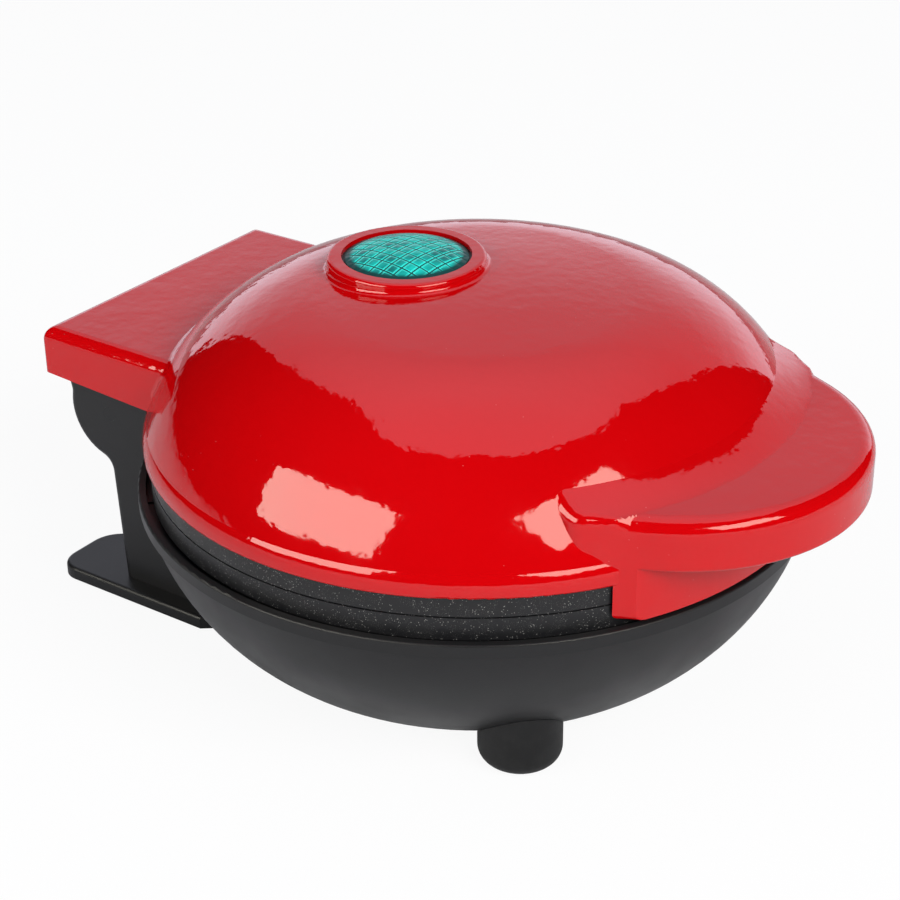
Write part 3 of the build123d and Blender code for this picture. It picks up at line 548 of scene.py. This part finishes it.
def lid_mesh():
    mesh = nodes["lid_shell"].data.copy()
    mesh.name = "lid_skin"
    bm = bmesh.new()
    bm.from_mesh(mesh)
    facing = face_way(bm, mesh)
    bmesh.ops.remove_doubles(bm, verts=bm.verts, dist=merge_distance)
    cut_rim(bm)
    rim_verts = {vert for vert in bm.verts if on_rim(vert.co)}
    turned = turn_corners(bm, facing, rim_verts)
    moved = move_points(bm, rim_verts)
    bm.to_mesh(mesh)
    bm.free()
    ways = [Vector(item.vector).normalized() for item in mesh.attributes["facing"].data]
    mesh.attributes.remove(mesh.attributes["facing"])
    mesh.shade_smooth()
    mesh.normals_split_custom_set(ways)
    print("lid copy: moved", moved, "points on the grip and", len(rim_verts), "on the rim")
    print("lid copy: turned", turned, "corners on the grip")
    return mesh


lid_skin = bpy.data.objects.new("lid_skin", lid_mesh())
bpy.context.scene.collection.objects.link(lid_skin)
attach(lid_skin, "lid")
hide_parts("lid_shell")

# %% [markdown]
# ## Signal lens
#
# The lens is a teal cap with a net of square prisms on it. A disc is cut by planes along both ways of
# the net, so that every prism has its own edges, and then pressed up into a dome. The lines of the net
# are real grooves. The rim of the dome grows down into the wall and the flange that hold the lens, and
# comes back up inside as a hollow.

# %% Signal lens shape
lens_centre = (0.0, 13.5)
lens_radius = 11.8
lens_edge = 75.7
lens_crown = 1.95
lens_fullness = 2.5
net_pitch = 2.35
net_turn = -4.0
net_reach = 10.7
groove_half = 0.10
groove_depth = 0.05
bar_end = 0.55
net_margin = 0.2
line_count = int(lens_radius / net_pitch)
# (radius, height) down the wall, round the flange and up inside
lens_wall = ((11.8, 68.8), (13.6, 68.8), (13.6, 67.4), (10.3, 67.4), (10.3, 74.3), (7.0, 75.3), (3.0, 75.9))


def lens_height(reach):
    """Height of the dome above its edge. Its shoulders are fuller than a ball's."""
    return lens_crown * (1 - (reach / lens_radius) ** lens_fullness)


def off_line(place):
    """Distance from a place to the nearest line of the net."""
    return abs((place / net_pitch + 0.5) % 1 - 0.5) * net_pitch


def cut_net(bm):
    for turn in (net_turn, net_turn + 90):
        way = Vector((cos(radians(turn)), sin(radians(turn)), 0))
        for line in range(-line_count, line_count + 1):
            for side in (-bar_end, -groove_half, 0, groove_half, bar_end, net_pitch / 2):
                cut = line * net_pitch + side
                if abs(cut) < lens_radius - net_margin:
                    parts = bm.verts[:] + bm.edges[:] + bm.faces[:]
                    bmesh.ops.bisect_plane(bm, geom=parts, dist=0.0001, plane_co=way * cut, plane_no=way)


def lens_mesh():
    bm = bmesh.new()
    bmesh.ops.create_circle(bm, cap_ends=True, segments=96, radius=lens_radius)
    cut_net(bm)
    turn_back = Matrix.Rotation(radians(-net_turn), 2)
    for vert in bm.verts:
        flat = vert.co.to_2d()
        on_net = turn_back @ flat
        near_line = min(off_line(on_net.x), off_line(on_net.y)) < groove_half / 2
        depth = groove_depth if near_line and flat.length < net_reach else 0
        vert.co.z = lens_edge + lens_height(min(flat.length, lens_radius)) - depth
    rim = [edge for edge in bm.edges if edge.is_boundary]
    for radius, height in lens_wall:
        rim = grow_rim(bm, rim, radius, height)
    bmesh.ops.holes_fill(bm, edges=rim, sides=0)
    bmesh.ops.translate(bm, vec=(*lens_centre, 0), verts=bm.verts)
    return bm


# %% [markdown]
# ## Signal lens finish
#
# Each prism has a darker middle, two bright bars on either side of it and dark lines between the rows.
# These are painted light and shade for the light that the clear prisms bend: painted highlights on the
# bars and painted shade in the middles and the lines. Distances to the nearest line of the net, one for
# each way, are all that the pattern needs. A little of the colour is also emitted, a painted glow for the
# light that the clear plastic gathers from all sides, while the prisms tilt the light with a bump.

# %% Signal lens finish and piece
# Widths in millimetres of the painted dark lines, and of the painted bright bars and outlines
line_half = 0.13
first_bar = (0.17, 0.30)
second_bar = (0.38, 0.50)
row_outline = (0.20, 0.32)
edge_start = net_reach - 0.6
edge_end = net_reach + 0.2
# whole cells and a half, so that the count of cells stays above zero all over the lens
cells_aside = 100.5


def distance_to_lines(finish, split, side):
    """Distance in millimetres to the nearest line of the net, along one of its two ways."""
    along = Wire(finish, split.outputs[side]) * (1000 / net_pitch) + cells_aside
    cell = finish.node("ShaderNodeMath", {"operation": "FRACT"}, {0: along})
    return finish.node("ShaderNodeMath", {"operation": "ABSOLUTE"}, {0: cell - 0.5}) * net_pitch


def band(distance, limits):
    return (distance > limits[0]) * (distance < limits[1])


def prism_net():
    # Painted glow: a little of the lens colour is emitted, though the lens is no lamp
    constants = {"Specular_IOR_Level": 0.1, "Emission_Strength": 0.04}
    finish = Finish("teal_prisms", (0.004, 0.42, 0.34), 0.30, **constants)
    moved = {"Location": (0, -lens_centre[1] / 1000, 0), "Scale": (1, 1, 0), "Vector": finish.place()}
    centred = finish.node("ShaderNodeMapping", {}, moved)
    turn = {"Vector": centred, "Rotation": (0, 0, radians(-net_turn))}
    turned = finish.node("ShaderNodeMapping", {}, turn)
    split = finish.node("ShaderNodeSeparateXYZ", {}, {"Vector": turned}).socket.node
    near_row, near_bar = (distance_to_lines(finish, split, side) for side in range(2))
    # Painted shade: dark lines along the grooves of the net
    groove = near_row.lower(near_bar) < line_half
    # Painted highlights: two bright bars on each side of the lines of one way, and a thin bright outline
    # beside the lines of the other
    bars = band(near_bar, first_bar) + band(near_bar, second_bar)
    bright = bars.higher(band(near_row, row_outline)) * (near_row > line_half)
    # Painted light and shade: dark prism middles, lighter in soft patches
    glow = finish.spread(finish.noise(4.5, 1.0), 0.35, 0.65)
    middle = finish.mix(glow, (0.002, 0.17, 0.16, 1), (0.006, 0.55, 0.47, 1))
    painted_bars_and_middles = finish.mix(bright * 0.92, middle, (0.05, 0.95, 0.80, 1))
    painted_prism_light_and_shade = finish.mix(groove, painted_bars_and_middles, (0.003, 0.045, 0.042, 1))
    # The colour turns darker towards the rim of the lens
    reach = finish.node("ShaderNodeVectorMath", {"operation": "LENGTH"}, {0: centred}, 1)
    edge = finish.spread(reach, edge_start / 1000, edge_end / 1000)
    colour = finish.mix(edge, painted_prism_light_and_shade, (0.002, 0.05, 0.047, 1))
    prisms = finish.bump(near_row.lower(near_bar), 0.08)
    # Painted glow: the pattern's colour is also emitted
    return finish.shade(Base_Color=colour, Emission_Color=colour, Normal=prisms)


signal_lens = make_piece("signal_lens", lens_mesh(), prism_net(), "lid", 50)
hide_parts("indicator_lens")

# %% [markdown]
# ## Fillet between cover and dome
#
# On the real lid the flat rear cover runs into the dome over a small hollow curve that catches a
# white line of light. A ball that rolls along the corner touches the cover on one side and the dome on
# the other, and the hollow lies between the two touching points. Each stop of the ball gives one
# loop, and bridging the loops gives the strip.

# %% Cover fillet
ball_radius = 1.7
cover_half_width = 33.0
cover_top = 56.9
cover_round = 2.6
sunk = 0.1
corner_share = 1.35
flat_steps = 12
round_steps = 8
arc_steps = 6
side_drops = (1.2, 2.4, 3.6, 4.6)


def ball_stops():
    """Places of the ball across the cover: (x, z, outward direction of the cover there)."""
    flat_end = cover_half_width - cover_round
    low = cover_top - cover_round
    above = cover_top + ball_radius
    right = [(flat_end * step / flat_steps, above, (0, 1)) for step in range(flat_steps + 1)]
    for step in range(1, round_steps + 1):
        angle = radians(90 - step * 90 / round_steps)
        way = (cos(angle), sin(angle))
        reach = cover_round + ball_radius
        right.append((flat_end + reach * way[0], low + reach * way[1], way))
    right += [(cover_half_width + ball_radius, low - drop, (1, 0)) for drop in side_drops]
    left = [(-x, z, (-way[0], way[1])) for x, z, way in right[:0:-1]]
    return left + right


def fillet_loop(bm, x, z, way):
    """One closed loop: the hollow arc between the touching points and a point inside the walls."""
    centre_reach, centre_height = shoulder_centre
    reach = centre_reach + sqrt((shoulder_radius + ball_radius) ** 2 - (z - centre_height) ** 2)
    ball = Vector((x, sqrt(reach ** 2 - x ** 2), z))
    to_cover = Vector((-way[0], 0, -way[1]))
    ring_point = Vector((ball.x, ball.y, 0)) * (centre_reach / reach) + Vector((0, 0, centre_height))
    to_shoulder = (ring_point - ball).normalized()
    arc = [to_cover.slerp(to_shoulder, step / arc_steps) * ball_radius for step in range(arc_steps + 1)]
    arc[0] += to_cover * sunk
    arc[-1] += to_shoulder * sunk
    corner = (to_cover + to_shoulder).normalized() * (ball_radius * corner_share)
    verts = [bm.verts.new(ball + offset) for offset in arc + [corner]]
    return [bm.edges.new(pair) for pair in zip(verts, verts[1:] + verts[:1])]


def fillet_mesh():
    bm = bmesh.new()
    loops = [fillet_loop(bm, *stop) for stop in ball_stops()]
    for first, second in zip(loops, loops[1:]):
        bmesh.ops.bridge_loops(bm, edges=first + second)
    for end in (loops[0], loops[-1]):
        bmesh.ops.contextual_create(bm, geom=end)
    bmesh.ops.translate(bm, vec=(0, plate_axis_y, 0), verts=bm.verts)
    return bm


make_piece("cover_fillet", fillet_mesh(), red_gloss, "lid", 60)

# %% [markdown]
# ## Plate screws
#
# Four countersunk screws hold each plate. The head starts as a fine grid: its cross-shaped middle is
# extruded and the copy is pushed down for the recess, while the first faces of the middle stay in place
# over it, and its square rim grows out to the round head, down the cone and along the shank. One screw is
# made, and its copies are turned for the upper plate, whose heads face down.

# %% Plate screws
screw_ring = 58.2
screw_head = 2.9
screw_shank = 1.5
screw_length = 12.0
recess_half_length = 1.3
recess_half_width = 0.1
recess_depth = 0.9
recess_taper = 0.75
head_grid_half = 1.8
first_screw_angle = 45
first_head_turn = 11
head_turn_step = 23


def one_screw():
    bm = bmesh.new()
    bmesh.ops.create_grid(bm, x_segments=9, y_segments=9, size=head_grid_half)
    rim = [edge for edge in bm.edges if edge.is_boundary]
    cross = []
    for face in bm.faces:
        across, along = sorted(abs(side) for side in face.calc_center_median().to_2d())
        if across < recess_half_width and along < recess_half_length:
            cross.append(face)
    pushed = made_verts(bmesh.ops.extrude_face_region(bm, geom=cross))
    bmesh.ops.scale(bm, vec=(recess_taper, recess_taper, 1), verts=pushed)
    bmesh.ops.translate(bm, vec=(0, 0, -recess_depth), verts=pushed)
    head = ((2.75, 0), (screw_head, -0.12), (screw_shank, -1.6))
    tip = ((screw_shank, 0.6 - screw_length), (1.0, -screw_length))
    for radius, height in head + tip:
        rim = grow_rim(bm, rim, radius, height)
    bmesh.ops.holes_fill(bm, edges=rim, sides=0)
    mesh = bpy.data.meshes.new("one_screw")
    bm.to_mesh(mesh)
    bm.free()
    return mesh


def screw_set(height, facing):
    pattern = one_screw()
    bm = bmesh.new()
    for quarter in range(4):
        angle = radians(first_screw_angle + 90 * quarter)
        known = set(bm.verts)
        bm.from_mesh(pattern)
        fresh = [vert for vert in bm.verts if vert not in known]
        turn = Matrix.Rotation(radians(head_turn_step * quarter + first_head_turn), 3, "Z")
        if facing < 0:
            turn = Matrix.Rotation(pi, 3, "X") @ turn
        bmesh.ops.rotate(bm, matrix=turn, verts=fresh)
        spot = (screw_ring * cos(angle), screw_ring * sin(angle) + plate_axis_y, height)
        bmesh.ops.translate(bm, vec=spot, verts=fresh)
    bpy.data.meshes.remove(pattern)
    return bm


for name, node, body, height, facing in (
    ("upper_cross_screws", "upper_plate_screws", "lid", 40.25, -1),
    ("lower_cross_screws", "lower_plate_screws", "base", 39.95, 1),
):
    screws = make_piece(name, screw_set(height, facing), plated_steel, body, 30)
    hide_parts(node)

# %% [markdown]
# ## The studio
#
# Gloss shows the room, so the room is part of the finish. Two soft boxes stand left and right of the
# camera. Each is a pair of lamps: one that surfaces are lit by and, just in front of it, one that only
# reflections see, because a soft box near the lens looks brighter in gloss than it lights a matt wall.

# %% Soft boxes
lit_distance = 1.3
seen_distance = 1.28
lit_colour = (1, 1, 1)
seen_colour = (1.0, 0.96, 0.84)
lamp_lift = 0.04


def aim(azimuth, elevation):
    """Direction from the object, with azimuth 0 to the front and 90 to its right-hand side."""
    a, e = radians(azimuth), radians(elevation)
    return Vector((sin(a) * cos(e), -cos(a) * cos(e), sin(e)))


def soft_box(name, azimuth, elevation, size, roll, lit, seen):
    for part, brightness, distance, colour in (
        ("lit", lit, lit_distance, lit_colour),
        ("seen", seen, seen_distance, seen_colour),
    ):
        lights = part == "lit"
        shows = part == "seen"
        data = bpy.data.lights.new(name + "_" + part, "AREA")
        data.color = colour
        data.shape = "RECTANGLE"
        data.size, data.size_y = size
        data.energy = brightness * pi * size[0] * size[1]
        lamp = bpy.data.objects.new(data.name, data)
        bpy.context.scene.collection.objects.link(lamp)
        way = aim(azimuth, elevation)
        turn = way.to_track_quat("Z", "Y").to_matrix() @ Matrix.Rotation(radians(roll), 3, "Z")
        lamp.rotation_euler = turn.to_euler()
        lamp.location = way * distance + Vector((0, 0, lamp_lift))
        lamp.visible_camera = False
        lamp.visible_diffuse = lights
        lamp.visible_glossy = shows
        lamp.visible_transmission = shows


# %% [markdown]
# ## Sky, floor and dark screen
#
# The background is white to the camera and a little cool to everything else. In reflections it is
# brightest low down behind the object, as a lit sweep is, and dimmer overhead. The floor is white paper
# that keeps a soft shadow. A black screen round the front keeps the horizon dark there, which gives the
# red its depth. Only reflections see it, and its top follows a listed line.

# %% Sky, floor and screen
sky_tint = (0.96, 0.98, 1.10, 1)
white = (1, 1, 1, 1)


def ray_is(web, kind):
    return web.node("ShaderNodeLightPath", output=kind)


def studio_world(ambient, sky_stops):
    world = bpy.data.worlds.new("studio")
    world.use_nodes = True
    bpy.context.scene.world = world
    web = Web(world.node_tree)
    way = web.node("ShaderNodeTexCoord", output="Generated")
    height = web.node("ShaderNodeSeparateXYZ", {}, {"Vector": way}, "Z")
    brightness = sky_stops[0][1]
    for (low, start), (high, end) in zip(sky_stops, sky_stops[1:]):
        brightness = web.spread(height, sin(radians(low)), sin(radians(high)), 0, end - start) + brightness
    mirrored = ray_is(web, "Is Glossy Ray").higher(ray_is(web, "Is Transmission Ray"))
    camera_ray = ray_is(web, "Is Camera Ray")
    strength = camera_ray + (1 - camera_ray) * (mirrored * brightness + (1 - mirrored) * ambient)
    background = world.node_tree.nodes["Background"]
    web.feed(background.inputs["Color"], web.mix(camera_ray, sky_tint, white))
    web.feed(background.inputs["Strength"], strength)


def studio_floor(radius, paper, glow_share):
    bm = bmesh.new()
    bmesh.ops.create_circle(bm, cap_ends=True, segments=96, radius=radius)
    mesh = bpy.data.meshes.new("studio_floor")
    bm.to_mesh(mesh)
    bm.free()
    floor = bpy.data.objects.new("studio_floor", mesh)
    bpy.context.scene.collection.objects.link(floor)
    sheet = Finish("floor_paper", (paper, paper, paper), 0.9, Specular_IOR_Level=0.0)
    camera_ray = ray_is(sheet, "Is Camera Ray")
    sheet.shade(Base_Color=sheet.mix(camera_ray, sheet.colour, white))
    glow = sheet.node("ShaderNodeEmission", {}, {"Color": white, "Strength": 1.0})
    paper_shader = Wire(sheet, sheet.shader.outputs[0])
    shown = sheet.node("ShaderNodeMixShader", {}, {0: camera_ray * glow_share, 1: paper_shader, 2: glow})
    sheet.feed(sheet.tree.nodes["Material Output"].inputs["Surface"], shown)
    mesh.materials.append(sheet.material)


def screen_top(azimuth, top_line):
    for (first, low), (last, high) in zip(top_line, top_line[1:]):
        if azimuth <= last:
            return low + (high - low) * (azimuth - first) / (last - first)
    return top_line[-1][1]


def black_screen(distance, top_line):
    """Curved dark screen round the front. Only reflections see it."""
    bm = bmesh.new()
    bmesh.ops.create_grid(bm, x_segments=60, y_segments=12, size=0.5)
    first, last = top_line[0][0], top_line[-1][0]
    foot = -2
    for vert in bm.verts:
        azimuth = first + (last - first) * (vert.co.x + 0.5)
        elevation = foot + (screen_top(azimuth, top_line) - foot) * (vert.co.y + 0.5)
        vert.co = aim(azimuth, elevation) * distance
    mesh = bpy.data.meshes.new("black_screen")
    bm.to_mesh(mesh)
    bm.free()
    screen = bpy.data.objects.new("black_screen", mesh)
    bpy.context.scene.collection.objects.link(screen)
    cloth = Finish("screen_cloth", (0.004, 0.004, 0.004), 1.0, Specular_IOR_Level=0.0)
    mesh.materials.append(cloth.material)
    for kind in ("camera", "diffuse", "transmission", "shadow", "volume_scatter"):
        setattr(screen, "visible_" + kind, False)


# %% [markdown]
# ## Set the lights
#
# Brightness 1 is white paper in full light. The numbers were tried against the picture: where the
# left and the right window sit in the dome, how dark the sides stay and how pink the top is.

# %% Lights and levels
sky_levels = ((0, 1.5), (8, 1.45), (16, 0.95), (27, 0.62), (40, 0.66), (55, 0.95), (68, 1.15))
screen_line = (
    (-202, 28), (-198, 38), (-193, 46), (-186, 58), (-180, 62), (-160, 68), (-92, 70), (-53, 72), (-14, 70),
    (7, 67), (35, 62), (60, 58), (66, 50), (72, 43), (77, 33), (80, 18), (83, 0),
)
studio_world(ambient=0.33, sky_stops=sky_levels)
studio_floor(radius=6.0, paper=0.8, glow_share=0.92)
black_screen(distance=3.0, top_line=screen_line)
soft_box("left_soft_box", azimuth=-110, elevation=25, size=(1.0, 0.60), roll=3, lit=3.6, seen=8.0)
soft_box("front_soft_box", azimuth=-16, elevation=35, size=(0.85, 0.5), roll=18, lit=9.8, seen=8.0)
bpy.context.scene.view_settings.view_transform = "Standard"
